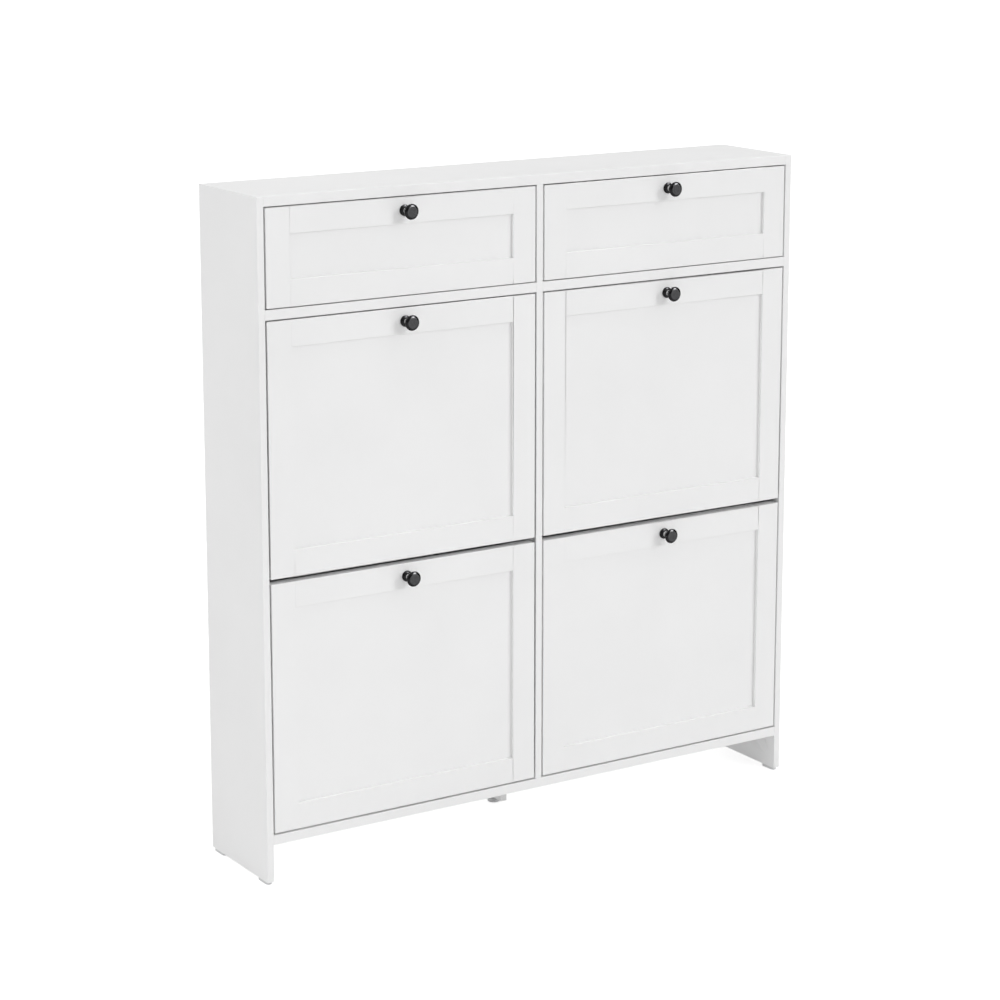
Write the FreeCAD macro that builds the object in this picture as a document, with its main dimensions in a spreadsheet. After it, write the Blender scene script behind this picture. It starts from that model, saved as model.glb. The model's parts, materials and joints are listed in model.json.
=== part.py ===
import FreeCAD, Part
import math
import os
import re
import Sketcher

# Slim shoe cabinet in two columns. Each column has a drawer over two tilt-out flaps, all with
# framed fronts set flush between the boards. +Z is up, the fronts face -Y, and the origin is on
# the floor, in the middle of the outer box with the knobs counted in. Millimetres and degrees.

DIMENSIONS = {
    # carcass
    "width": 1028,
    "depth": 193,
    "height": 1100,
    "side_board": 12,
    "flat_board": 16,
    "divider_depth": 178.8,
    "glide_height": 4.5,
    # back panels, the grooves that hold them, and the strip that joins them
    "back_sheet": 3,
    "back_line": 180,
    "back_groove": 5,
    "groove_slack": 0.1,
    "groove_spare": 0.5,
    "strip_wall": 1,
    "strip_half": 6,
    "back_slip": 0.5,
    # fronts: frame of two stiles and two rails round a thin panel
    "front_board": 18,
    "frame_width": 42,
    "panel_sheet": 6,
    "panel_inset": 6,
    "frame_groove": 7,
    "tenon": 6.5,
    "side_gap": 3,
    "drawer_gap": 2,
    "drawer_front": 155,
    "flap_front": 406.5,
    "flap_top_gap": 2.5,
    "flap_mid_gap": 8.5,
    "flap_low_gap": 3.2,
    # knobs
    "knob_reach": 25,
    "knob_radius": 12.5,
    "knob_face": 8.3,
    "knob_shoulder": 2.2,
    "knob_rim": 3.2,
    "knob_head": 5.6,
    "knob_neck": 4.8,
    "knob_waist": 8.5,
    "knob_root": 4.6,
    "knob_base": 9,
    "knob_flange": 2.6,
    "knob_lip": 1.8,
    "knob_hole": 2.3,
    "knob_bore": 14,
    # tilting trays behind the flaps, measured from the pivot
    "pivot_lift": 20,
    "pin_radius": 3,
    "pin_slack": 0.06,
    "pin_reach": 12,
    "pin_bite": 5,
    "tilt": 45,
    "cheek": 3,
    "cheek_gap": 4,
    "cheek_radius": 200,
    "cheek_back": 152,
    "cheek_low": 14,
    "cheek_flange": 14,
    "slot_radius": 170,
    "slot_half": 3.3,
    "slot_start": 37,
    "tray_sheet": 6,
    "tray_back": 149,
    "tray_drop": 8,
    "tray_wall": 130,
    # drawer boxes
    "drawer_clear": 6,
    "drawer_board": 12,
    "drawer_run": 145,
    "drawer_lift": 12,
    "drawer_wall": 110,
    "drawer_sheet": 3,
    "sheet_lift": 8,
    "sheet_bite": 5,
    "runner_lift": 60,
    "runner_tall": 14,
    "runner_bite": 5.5,
    "runner_slack": 0.5,
    # wall rails behind the drawers
    "rail_board": 12,
    "rail_tall": 60,
    "wall_hole": 2.75,
    # fasteners
    "bolt_near": 37,
    "bolt_far": 150,
    "cam_radius": 7.4,
    "cam_deep": 12,
    "cam_set": 24,
    "mouth_slack": 0.8,
    "slot_long": 10,
    "slot_wide": 1.5,
    "slot_deep": 2,
    "bolt_radius": 3,
    "tip_flare": 0.6,
    "tip_long": 3,
    "dowel_set": 95,
    "dowel_radius": 3,
    "dowel_bite": 9,
    "dowel_reach": 20,
    "bore_slack": 0.1,
    "bore_spare": 0.5,
    "screw_near": 30,
    "screw_far": 85,
    "screw_radius": 2.5,
    "screw_head": 5,
    "screw_cap": 3.5,
    "screw_sink": 4,
    "screw_pilot": 35,
    "screw_long": 48,
    "stop_flare": 2,
    "stop_cap": 2,
    "stop_slack": 1,
    # middle support under the bottom board
    "leg_front": 108,
    "leg_run": 62,
    "leg_clear": 9,
    "leg_dowel_near": 118,
    "leg_dowel_far": 162,
    "foot_radius": 11,
    "foot_flat": 5,
    "foot_stem": 4,
    "stem_bite": 12,
    "foot_set": 140,
    # glides under the side boards
    "glide_long": 33,
    "glide_wide": 11,
    "glide_inset": 4,
}

doc = FreeCAD.newDocument("shoe_cabinet")
sheet = doc.addObject("Spreadsheet::Sheet", "dims")
for row, (word, value) in enumerate(DIMENSIONS.items(), 1):
    sheet.set(f"A{row}", word)
    sheet.set(f"B{row}", str(value))
    sheet.setAlias(f"B{row}", word)
doc.recompute()

# Places worked out from the sheet's words. Depths are measured back from the face of the fronts.
FACE = "(-(depth - knob_reach) / 2)"
OPENING = "((width - 3 * side_board) / 2)"
FRONT_WIDTH = f"({OPENING} - 2 * side_gap)"
COLUMN = f"({OPENING} / 2 + side_board / 2)"
TOP_Z = "(height - flat_board)"
DRAWER_Z = f"({TOP_Z} - drawer_gap - drawer_front)"
SHELF_Z = f"({DRAWER_Z} - drawer_gap - flat_board)"
UPPER_Z = f"({SHELF_Z} - flap_top_gap - flap_front)"
LOWER_Z = f"({UPPER_Z} - flap_mid_gap - flap_front)"
BOTTOM_Z = f"({LOWER_Z} - flap_low_gap - flat_board)"
STOP_ANGLE = "(slot_start + tilt)"
CHEEK_X = f"({OPENING} / 2 - cheek_gap)"
TRAY_HALF = f"({CHEEK_X} - cheek)"
DRAWER_HALF = f"({OPENING} / 2 - drawer_clear)"
BOLT_DEPTHS = ("bolt_near", "bolt_far")
SCREW_DEPTHS = ("screw_near", "screw_far")
LEG_DOWEL_DEPTHS = ("leg_dowel_near", "leg_dowel_far")

SIDES = {"left": -1, "right": 1}
FLAPS = {"upper": UPPER_Z, "lower": LOWER_Z}
TURN = {
    "x": FreeCAD.Rotation(FreeCAD.Vector(0, 1, 0), 90),
    "-x": FreeCAD.Rotation(FreeCAD.Vector(0, 1, 0), -90),
    "y": FreeCAD.Rotation(FreeCAD.Vector(1, 0, 0), -90),
    "z": FreeCAD.Rotation(),
}
# A drum's own X, Y and Z become the cabinet's Y, Z and X.
SIDEWAYS = FreeCAD.Rotation(
    FreeCAD.Vector(0, 1, 0), FreeCAD.Vector(0, 0, 1), FreeCAD.Vector(1, 0, 0), "XYZ"
)
nodes = []


def cells(formula):
    """Point each of a formula's words at its cell in the sheet."""
    return re.sub(
        r"[a-z_]+", lambda m: f"dims.{m[0]}" if m[0] in DIMENSIONS else m[0], str(formula)
    )


def number(formula):
    """What a formula comes to now, for a sketch's first shape."""
    return float(sheet.evalExpression(cells(formula)))


def bind(thing, **formulas):
    for name, formula in formulas.items():
        thing.setExpression(name, cells(formula))


def place(thing, x=0, y=0, z=0):
    for axis, formula in zip("xyz", (x, y, z)):
        thing.setExpression(f"Placement.Base.{axis}", cells(formula))
    return thing


def node(thing, label):
    """Name a sub-part and put it on the list of those that are written."""
    thing.Label = label
    nodes.append(thing)
    return thing


def box(x, y, z, long, deep, tall):
    """A block from its lowest corner."""
    block = doc.addObject("Part::Box", "Block")
    bind(block, Length=long, Width=deep, Height=tall)
    return place(block, x, y, z)


def rod(x, y, z, radius, length, axis="z"):
    """A round bar from the middle of one end, along an axis."""
    bar = doc.addObject("Part::Cylinder", "Rod")
    bar.Placement.Rotation = TURN[axis]
    bind(bar, Radius=radius, Height=length)
    return place(bar, x, y, z)


def join(pieces):
    whole = doc.addObject("Part::MultiFuse", "Join")
    whole.Shapes = pieces
    return whole


def cut(base, tools):
    result = doc.addObject("Part::Cut", "Cut")
    result.Base = base
    result.Tool = tools[0] if len(tools) == 1 else join(tools)
    return result


def common(first, second):
    shared = doc.addObject("Part::MultiCommon", "Common")
    shared.Shapes = [first, second]
    return shared


def group(pieces):
    """Several pieces of one kind as separate solids in one node."""
    together = doc.addObject("Part::Compound", "Group")
    together.Links = pieces
    return together


def outline(body, role, path):
    """A closed sketch on one of the body's own planes. Each step is a point, with the radius of
    the arc that leads to it where it isn't straight: plus turns left, minus turns right."""
    sketch = body.newObject("Sketcher::SketchObject", "Outline")
    plane = next(item for item in body.Origin.OriginFeatures if item.Role == role)
    sketch.AttachmentSupport = [(plane, "")]
    sketch.MapMode = "FlatFace"
    spots = [FreeCAD.Vector(number(step[0]), number(step[1]), 0) for step in path]
    ends = []
    for i, step in enumerate(path):
        start, end = spots[i - 1], spots[i]
        if len(step) == 2:
            edge = sketch.addGeometry(Part.LineSegment(start, end))
            ends.append((edge, 1, 2))
            continue
        radius = number(step[2])
        half = (end - start) / 2
        reach = math.sqrt(radius * radius - half.Length ** 2)
        across = FreeCAD.Vector(-half.y, half.x, 0).normalize() * math.copysign(reach, radius)
        middle = start + half + across
        ring = Part.Circle(middle, FreeCAD.Vector(0, 0, 1), abs(radius))
        first, last = (start, end) if radius > 0 else (end, start)
        angles = [math.atan2(spot.y - middle.y, spot.x - middle.x) for spot in (first, last)]
        edge = sketch.addGeometry(Part.ArcOfCircle(ring, *angles))
        ends.append((edge, 1, 2) if radius > 0 else (edge, 2, 1))
        rule = sketch.addConstraint(Sketcher.Constraint("Radius", edge, abs(radius)))
        sketch.setExpression(f"Constraints[{rule}]", cells(f"abs({step[2]})"))
    for i, step in enumerate(path):
        edge, _, tail = ends[i]
        after, head, _ = ends[(i + 1) % len(path)]
        sketch.addConstraint(Sketcher.Constraint("Coincident", edge, tail, after, head))
        for kind, formula, value in zip(
            ("DistanceX", "DistanceY"), step[:2], (spots[i].x, spots[i].y)
        ):
            rule = sketch.addConstraint(Sketcher.Constraint(kind, -1, 1, edge, tail, value))
            sketch.setExpression(f"Constraints[{rule}]", cells(formula))
    return sketch


def turned(role, path):
    """A piece turned about its sketch's upright axis."""
    body = doc.addObject("PartDesign::Body", "Turned")
    sketch = outline(body, role, path)
    spin = body.newObject("PartDesign::Revolution", "Spin")
    spin.Profile = sketch
    spin.ReferenceAxis = (sketch, ["V_Axis"])
    spin.Angle = 360
    return body


def padded(role, path, length):
    """A piece of one section all the way along."""
    body = doc.addObject("PartDesign::Body", "Padded")
    pad = body.newObject("PartDesign::Pad", "Pad")
    pad.Profile = outline(body, role, path)
    bind(pad, Length=length)
    return body


def depth_of(formula):
    return f"({FACE} + {formula})"


# ---- carcass -----------------------------------------------------------------------------------


def end_bores(sign, level):
    """Bores in a side board for one flat board's bolts and dowel, level with its middle."""
    face = f"({sign} * (width / 2 - side_board))"
    into = "x" if sign > 0 else "-x"
    bores = [
        rod(face, depth_of(y), level, "bolt_radius + bore_slack", "dowel_bite", into)
        for y in BOLT_DEPTHS
    ]
    return bores + [
        rod(face, depth_of("dowel_set"), level, "dowel_radius + bore_slack", "dowel_bite", into)
    ]


def pivot_spots():
    """Pivot and stop places of both flaps in a column, as depth and height."""
    for level in FLAPS.values():
        pivot = (depth_of("front_board / 2"), f"({level} + pivot_lift)")
        stop = (
            f"({pivot[0]} + slot_radius * cos({STOP_ANGLE}))",
            f"({pivot[1]} + slot_radius * sin({STOP_ANGLE}))",
        )
        yield pivot, stop


def hardware_bores(face, into):
    """Bores for pivot pins and stop screws in the board face beside a column."""
    bores = []
    for pivot, stop in pivot_spots():
        for y, z in (pivot, stop):
            bores.append(rod(face, y, z, "pin_radius + bore_slack", "pin_bite", into))
    return bores


def side_panel(name, sign):
    inner = f"({sign} * (width / 2 - side_board))"
    outer = "(-width / 2)" if sign < 0 else inner
    board = box(outer, FACE, "glide_height", "side_board", "depth", "height - glide_height")
    groove_x = f"({inner} - back_groove)" if sign < 0 else inner
    groove = box(
        groove_x,
        depth_of("back_line - groove_slack"),
        f"{BOTTOM_Z} + flat_board - back_groove",
        "back_groove",
        "back_sheet + 2 * groove_slack",
        f"{TOP_Z} - {BOTTOM_Z} - flat_board + 2 * back_groove",
    )
    tools = [groove]
    for level in (TOP_Z, SHELF_Z, BOTTOM_Z):
        tools += end_bores(sign, f"({level} + flat_board / 2)")
    tools += hardware_bores(inner, "x" if sign > 0 else "-x")
    return node(cut(board, tools), name)


def board_end_tools(x, sign, z):
    """Bores in the end of a flat board: two cam pockets with their bolt bores, and one dowel."""
    level = f"({z} + flat_board / 2)"
    inward = "-x" if sign > 0 else "x"
    tools = []
    for y in BOLT_DEPTHS:
        cam_x = f"({x} - {sign} * cam_set)"
        tools.append(
            rod(cam_x, depth_of(y), z, "cam_radius + bore_slack", "cam_deep + bore_slack")
        )
        tools.append(
            rod(x, depth_of(y), level, "bolt_radius + bore_slack", "cam_set", inward)
        )
    tools.append(
        rod(x, depth_of("dowel_set"), level, "dowel_radius + bore_slack", "dowel_reach", inward)
    )
    return tools


def flat_panel(name, z, groove_z):
    """Top or bottom board, between the sides, with a groove for the backs."""
    half = "(width / 2 - side_board)"
    board = box(f"(-{half})", FACE, z, f"2 * {half}", "depth", "flat_board")
    tools = board_end_tools(f"(-{half})", -1, z) + board_end_tools(half, 1, z)
    tools.append(
        box(
            f"(-{half})",
            depth_of("back_line - groove_slack"),
            groove_z,
            f"2 * {half}",
            "back_sheet + 2 * groove_slack",
            "back_groove",
        )
    )
    return board, tools


for name, sign in SIDES.items():
    side_panel(f"side_{name}", sign)

top_board, top_tools = flat_panel("top_panel", TOP_Z, TOP_Z)
top_tools += [
    rod(0, depth_of(y), TOP_Z, "dowel_radius + bore_slack", "dowel_bite")
    for y in BOLT_DEPTHS
]
node(cut(top_board, top_tools), "top_panel")

BOTTOM_TOP = f"({BOTTOM_Z} + flat_board)"
bottom_board, bottom_tools = flat_panel("bottom_panel", BOTTOM_Z, f"{BOTTOM_TOP} - back_groove")
for y in SCREW_DEPTHS:
    bottom_tools.append(
        rod(0, depth_of(y), BOTTOM_Z, "screw_radius + bore_slack", "flat_board")
    )
    bottom_tools.append(rod(0, depth_of(y), BOTTOM_Z, "screw_head + bore_slack", "screw_sink"))
for y in LEG_DOWEL_DEPTHS:
    bottom_tools.append(
        rod(0, depth_of(y), BOTTOM_Z, "dowel_radius + bore_slack", "dowel_bite")
    )
node(cut(bottom_board, bottom_tools), "bottom_panel")

DIVIDER_TALL = f"({TOP_Z} - {BOTTOM_TOP})"
divider_tools = []
for y in BOLT_DEPTHS:
    divider_tools.append(
        rod(
            "-side_board / 2", depth_of(y), f"{SHELF_Z} + flat_board / 2",
            "bolt_radius + bore_slack", "side_board", "x",
        )
    )
    divider_tools.append(
        rod(
            0, depth_of(y), f"{TOP_Z} - dowel_reach",
            "dowel_radius + bore_slack", "dowel_reach",
        )
    )
divider_tools.append(
    rod(
        "-side_board / 2", depth_of("dowel_set"), f"{SHELF_Z} + flat_board / 2",
        "dowel_radius + bore_slack", "side_board", "x",
    )
)
for y in SCREW_DEPTHS:
    divider_tools.append(
        rod(0, depth_of(y), BOTTOM_TOP, "screw_radius + bore_slack", "screw_pilot")
    )
divider_tools += hardware_bores("-side_board / 2", "x")
divider_tools += hardware_bores("side_board / 2", "-x")
divider = box(
    "-side_board / 2", FACE, BOTTOM_TOP, "side_board", "divider_depth", DIVIDER_TALL
)
node(cut(divider, divider_tools), "divider")

for name, sign in SIDES.items():
    inner_end = f"({sign} * side_board / 2)"
    outer_end = f"({sign} * (width / 2 - side_board))"
    low_x = inner_end if sign > 0 else outer_end
    shelf = box(low_x, FACE, SHELF_Z, OPENING, "divider_depth", "flat_board")
    tools = board_end_tools(outer_end, sign, SHELF_Z) + board_end_tools(inner_end, -sign, SHELF_Z)
    node(cut(shelf, tools), f"drawer_shelf_{name}")

# ---- back --------------------------------------------------------------------------------------

WALL_HOLE_Z = f"({TOP_Z} - rail_tall / 2)"
for name, sign in SIDES.items():
    middle = f"({sign} * {COLUMN})"
    wide = f"(width / 2 - side_board + back_groove - back_slip - strip_wall)"
    start = "strip_wall" if sign > 0 else f"(-strip_wall - {wide})"
    panel = box(
        start,
        depth_of("back_line"),
        f"{BOTTOM_TOP} - back_groove + back_slip",
        wide,
        "back_sheet",
        f"{DIVIDER_TALL} + 2 * (back_groove - back_slip)",
    )
    hole = rod(middle, depth_of("back_line"), WALL_HOLE_Z, "wall_hole", "back_sheet", "y")
    node(cut(panel, [hole]), f"back_panel_{name}")

    rail = box(
        "side_board / 2" if sign > 0 else f"(-side_board / 2 - {OPENING})",
        depth_of("back_line - groove_slack - rail_board"),
        f"{TOP_Z} - rail_tall",
        OPENING,
        "rail_board",
        "rail_tall",
    )
    hole = rod(
        middle, depth_of("back_line - groove_slack - rail_board"), WALL_HOLE_Z,
        "wall_hole", "rail_board", "y",
    )
    node(cut(rail, [hole]), f"wall_rail_{name}")

WEB = "(strip_wall - groove_slack)"
NEAR = "(-strip_wall - groove_slack)"
FAR = "(back_sheet + strip_wall + groove_slack)"
strip = padded(
    "XY_Plane",
    [
        ("-strip_half", NEAR),
        ("strip_half", NEAR),
        ("strip_half", "-groove_slack"),
        (WEB, "-groove_slack"),
        (WEB, "back_sheet + groove_slack"),
        ("strip_half", "back_sheet + groove_slack"),
        ("strip_half", FAR),
        ("-strip_half", FAR),
        ("-strip_half", "back_sheet + groove_slack"),
        (f"-{WEB}", "back_sheet + groove_slack"),
        (f"-{WEB}", "-groove_slack"),
        ("-strip_half", "-groove_slack"),
    ],
    f"{DIVIDER_TALL} - 2 * back_slip",
)
place(strip, 0, depth_of("back_line"), f"{BOTTOM_TOP} + back_slip")
node(strip, "back_joint_strip")

# ---- feet --------------------------------------------------------------------------------------


def glide():
    """A nail-on plastic glide with round ends, under a side board's lower edge."""
    half = "(glide_wide / 2)"
    return padded(
        "XY_Plane",
        [
            (half, f"glide_long - {half}"),
            (0, "glide_long", half),
            (f"-{half}", f"glide_long - {half}", half),
            (f"-{half}", half),
            (0, 0, half),
            (half, half, half),
        ],
        "glide_height",
    )


glides = []
for sign in SIDES.values():
    for start in ("glide_inset", "(depth - glide_inset - glide_long)"):
        middle = f"{sign} * (width / 2 - side_board / 2)"
        glides.append(place(glide(), middle, depth_of(start), 0))
node(group(glides), "floor_glides")

leg = box(
    "-side_board / 2", depth_of("leg_front"), "leg_clear",
    "side_board", "leg_run", f"{BOTTOM_Z} - leg_clear",
)
leg_tools = [
    rod(
        0, depth_of(y), f"{BOTTOM_Z} - dowel_reach",
        "dowel_radius + bore_slack", "dowel_reach",
    )
    for y in LEG_DOWEL_DEPTHS
]
leg_tools.append(
    rod(
        0, depth_of("foot_set"), "leg_clear",
        "foot_stem + bore_slack", "stem_bite + bore_slack",
    )
)
node(cut(leg, leg_tools), "centre_leg")

foot = turned(
    "XZ_Plane",
    [
        ("foot_radius - 1", 0),
        ("foot_radius", 1, 1.2),
        ("foot_radius", "foot_flat - 1"),
        ("foot_radius - 1", "foot_flat", 1.2),
        ("foot_stem", "foot_flat"),
        ("foot_stem", "leg_clear + stem_bite"),
        (0, "leg_clear + stem_bite"),
        (0, 0),
    ],
)
place(foot, 0, depth_of("foot_set"), 0)
node(foot, "centre_foot")

# ---- fasteners and pins of the carcass -----------------------------------------------------------


def cam_lock(x, y, z, sign):
    """A cam in its pocket, with the mouth that takes the bolt's head and a driver slot below."""
    drum = rod(x, y, z, "cam_radius", "cam_deep")
    way = "x" if sign > 0 else "-x"
    heel = f"({x} - {sign} * bolt_radius)"
    mouth = rod(
        heel, y, f"{z} + flat_board / 2",
        "bolt_radius + mouth_slack", "cam_radius + bolt_radius", way,
    )
    slot = box(
        f"{x} - slot_long / 2", f"{y} - slot_wide / 2", z, "slot_long", "slot_wide", "slot_deep"
    )
    return cut(drum, [mouth, slot])


def cam_bolt(x, y, level, sign):
    """A bolt screwed into a board's face, with its head in the cam. The sign is the way it points."""
    way = "x" if sign > 0 else "-x"
    back = "-x" if sign > 0 else "x"
    shank = rod(x, y, level, "bolt_radius", "cam_set - bolt_radius", way)
    tail = rod(x, y, level, "bolt_radius", "dowel_bite - bore_spare", back)
    tip_x = f"({x} + {sign} * (cam_set - bolt_radius))"
    tip = rod(tip_x, y, level, "bolt_radius + tip_flare", "tip_long", way)
    return join([shank, tail, tip])


side_joints = [(z, sign) for z in (TOP_Z, SHELF_Z, BOTTOM_Z) for sign in SIDES.values()]
cams, bolts, dowels = [], [], []
for z, sign in side_joints:
    face = f"({sign} * (width / 2 - side_board))"
    level = f"({z} + flat_board / 2)"
    for y in BOLT_DEPTHS:
        cams.append(cam_lock(f"({face} - {sign} * cam_set)", depth_of(y), z, sign))
        bolts.append(cam_bolt(face, depth_of(y), level, -sign))
    dowels.append(
        rod(
            f"({face} - {sign} * (dowel_reach - bore_spare))", depth_of("dowel_set"), level,
            "dowel_radius", "dowel_bite + dowel_reach - 2 * bore_spare", "x" if sign > 0 else "-x",
        )
    )
for y in BOLT_DEPTHS:
    for sign in SIDES.values():
        cam_x = f"({sign} * (side_board / 2 + cam_set))"
        cams.append(cam_lock(cam_x, depth_of(y), SHELF_Z, -sign))
    level = f"({SHELF_Z} + flat_board / 2)"
    half = "(side_board / 2 + cam_set)"
    long_bolt = [
        rod(
            f"bolt_radius - {half}", depth_of(y), level,
            "bolt_radius", f"2 * ({half} - bolt_radius)", "x",
        )
    ]
    for sign, way in ((-1, "-x"), (1, "x")):
        tip_x = f"({sign} * ({half} - bolt_radius))"
        long_bolt.append(rod(tip_x, depth_of(y), level, "bolt_radius + tip_flare", "tip_long", way))
    bolts.append(join(long_bolt))
    dowels.append(
        rod(
            0, depth_of(y), f"{TOP_Z} - dowel_reach + bore_spare",
            "dowel_radius", "dowel_bite + dowel_reach - 2 * bore_spare",
        )
    )
dowels.append(
    rod(
        "-side_board / 2 - dowel_reach + bore_spare", depth_of("dowel_set"),
        f"{SHELF_Z} + flat_board / 2", "dowel_radius",
        "side_board + 2 * (dowel_reach - bore_spare)", "x",
    )
)
for y in LEG_DOWEL_DEPTHS:
    dowels.append(
        rod(
            0, depth_of(y), f"{BOTTOM_Z} - dowel_reach + bore_spare",
            "dowel_radius", "dowel_bite + dowel_reach - 2 * bore_spare",
        )
    )
node(group(cams), "cam_locks")
node(group(bolts), "cam_bolts")
node(group(dowels), "dowels")

divider_screws = [
    join(
        [
            rod(0, depth_of(y), BOTTOM_Z, "screw_head", "screw_cap"),
            rod(0, depth_of(y), BOTTOM_Z, "screw_radius", "screw_long"),
        ]
    )
    for y in SCREW_DEPTHS
]
node(group(divider_screws), "divider_screws")

pins, stops = [], []
column_faces = [
    ("(-width / 2 + side_board)", 1),
    ("(-side_board / 2)", -1),
    ("(side_board / 2)", 1),
    ("(width / 2 - side_board)", -1),
]
for face, way in column_faces:
    along = "x" if way > 0 else "-x"
    for pivot, stop in pivot_spots():
        start = f"({face} - {way} * (pin_bite - bore_spare))"
        pins.append(
            rod(start, *pivot, "pin_radius", "pin_bite - bore_spare + side_gap + pin_reach", along)
        )
        shank = rod(
            start, *stop, "pin_radius",
            "pin_bite - bore_spare + cheek_gap + cheek + stop_slack", along,
        )
        head = rod(
            f"({face} + {way} * (cheek_gap + cheek + stop_slack))", *stop,
            "pin_radius + stop_flare", "stop_cap", along,
        )
        stops.append(join([shank, head]))
node(group(pins), "pivot_pins")
node(group(stops), "stop_screws")

runners = []
for face, way in column_faces:
    thick = "(drawer_clear + runner_bite)"
    low_x = face if way > 0 else f"({face} - {thick})"
    runners.append(
        box(
            low_x,
            depth_of("front_board + runner_slack"),
            f"{DRAWER_Z} + runner_lift",
            thick,
            "drawer_run",
            "runner_tall",
        )
    )
node(group(runners), "drawer_runners")

# ---- fronts ------------------------------------------------------------------------------------

GROOVE_NEAR = "(panel_inset - groove_slack)"
GROOVE_WIDE = "(panel_sheet + 2 * groove_slack)"


def front_frame(name, tall, x, z, pivoted):
    """Two stiles and two rails with a groove round the inside. The rails' tenons sit in it."""
    half = f"({FRONT_WIDTH} / 2)"
    inner = f"({half} - frame_width)"
    pieces = []
    for sign in SIDES.values():
        low_x = inner if sign > 0 else f"(-{half})"
        stile = box(low_x, 0, 0, "frame_width", "front_board", tall)
        groove_x = inner if sign > 0 else f"(-{inner} - frame_groove)"
        tools = [box(groove_x, GROOVE_NEAR, 0, "frame_groove", GROOVE_WIDE, tall)]
        if pivoted:
            mouth = f"({sign} * {half})"
            inward = "-x" if sign > 0 else "x"
            tools.append(
                rod(
                    mouth, "front_board / 2", "pivot_lift",
                    "pin_radius + pin_slack", "pin_reach + 1", inward,
                )
            )
        pieces.append(cut(stile, tools))
    for low_z, groove_z in (
        ("0", "(frame_width - frame_groove)"),
        (f"({tall} - frame_width)", f"({tall} - frame_width)"),
    ):
        rail = box(f"(-{inner})", 0, low_z, f"2 * {inner}", "front_board", "frame_width")
        tongue = box(
            f"(-{inner} - tenon)", "panel_inset", low_z,
            f"2 * ({inner} + tenon)", "panel_sheet", "frame_width",
        )
        groove = box(
            f"(-{inner} - tenon)", GROOVE_NEAR, groove_z,
            f"2 * ({inner} + tenon)", GROOVE_WIDE, "frame_groove",
        )
        tools = [groove]
        if low_z != "0":
            tools.append(
                rod(0, 0, f"{tall} - frame_width / 2", "knob_hole", "front_board", "y")
            )
        pieces.append(cut(join([rail, tongue]), tools))
    frame = group(pieces)
    place(frame, x, FACE, z)
    return node(frame, f"{name}_frame")


def front_panel(name, tall, x, z):
    reach = "(frame_groove - groove_spare)"
    panel = box(
        f"{x} - {FRONT_WIDTH} / 2 + frame_width - {reach}",
        depth_of("panel_inset"),
        f"{z} + frame_width - {reach}",
        f"{FRONT_WIDTH} - 2 * (frame_width - {reach})",
        "panel_sheet",
        f"{tall} - 2 * (frame_width - {reach})",
    )
    return node(panel, f"{name}_panel")


def knob(name, tall, x, z):
    """A mushroom knob: base flange, waisted neck, and a round head with a flat face and a rounded
    shoulder. A threaded bore from behind takes its screw."""
    bore = "(knob_hole - bore_spare)"
    body = turned(
        "XY_Plane",
        [
            (bore, 0),
            (bore, "-knob_bore"),
            (0, "-knob_bore"),
            (0, "-knob_reach"),
            ("knob_face", "-knob_reach"),
            ("knob_radius - 0.4", "knob_shoulder - knob_reach", 8),
            ("knob_radius", "knob_rim - knob_reach", 2),
            ("knob_radius - 1.4", "knob_head - knob_reach", 2),
            ("knob_neck", "-knob_waist", -14),
            ("knob_neck + 0.6", "-knob_root", -9),
            ("knob_base - 0.8", "-knob_flange"),
            ("knob_base", "-knob_lip", 0.9),
            ("knob_base", 0),
        ],
    )
    place(body, x, FACE, f"{z} + {tall} - frame_width / 2")
    return node(body, f"{name}_knob")


def front(name, tall, x, z, pivoted):
    front_frame(name, tall, x, z, pivoted)
    front_panel(name, tall, x, z)
    knob(name, tall, x, z)


# ---- flaps with their trays ----------------------------------------------------------------------


def stop_slot(low_x):
    """Cutter for a cheek's curved slot about the pivot, with round ends."""

    def sector(radius, angle):
        piece = doc.addObject("Part::Cylinder", "Sector")
        bind(piece, Radius=radius, Height="cheek", Angle=angle)
        return piece

    bar = cut(
        sector("slot_radius + slot_half", STOP_ANGLE),
        [sector("slot_radius - slot_half", 360), sector("cheek_radius", "slot_start")],
    )
    ends = [
        rod(f"slot_radius * cos({angle})", f"slot_radius * sin({angle})", 0, "slot_half", "cheek")
        for angle in ("slot_start", STOP_ANGLE)
    ]
    cutter = join([bar] + ends)
    cutter.Placement.Rotation = SIDEWAYS
    return place(cutter, low_x, 0, 0)


def tray_cheek(sign):
    """A tray's end plate: part of a disc about the pivot, with a flange screwed to the stile,
    a curved slot for the stop screw, and ledges under and behind the tray's boards."""
    outer = f"({sign} * {CHEEK_X})"
    low_x = f"({outer} - cheek)" if sign > 0 else outer
    inner_x = f"({outer} - cheek_flange)" if sign > 0 else outer
    near = "front_board / 2"
    run = f"cheek_back - {near}"
    plate = common(
        box(low_x, near, "-cheek_low", "cheek", run, "cheek_low + cheek_radius"),
        rod(low_x, 0, 0, "cheek_radius", "cheek", "x"),
    )
    flange_tall = "cheek_low + cheek_radius - cheek"
    flange = box(inner_x, near, "-cheek_low", "cheek_flange", "cheek", flange_tall)
    floor_ledge = box(inner_x, near, "-tray_drop - cheek", "cheek_flange", run, "cheek")
    back_ledge = box(
        inner_x, "tray_back", "-tray_drop - cheek",
        "cheek_flange", "cheek_back - tray_back", "tray_wall + tray_drop + cheek",
    )
    return cut(join([plate, flange, floor_ledge, back_ledge]), [stop_slot(low_x)])


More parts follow.
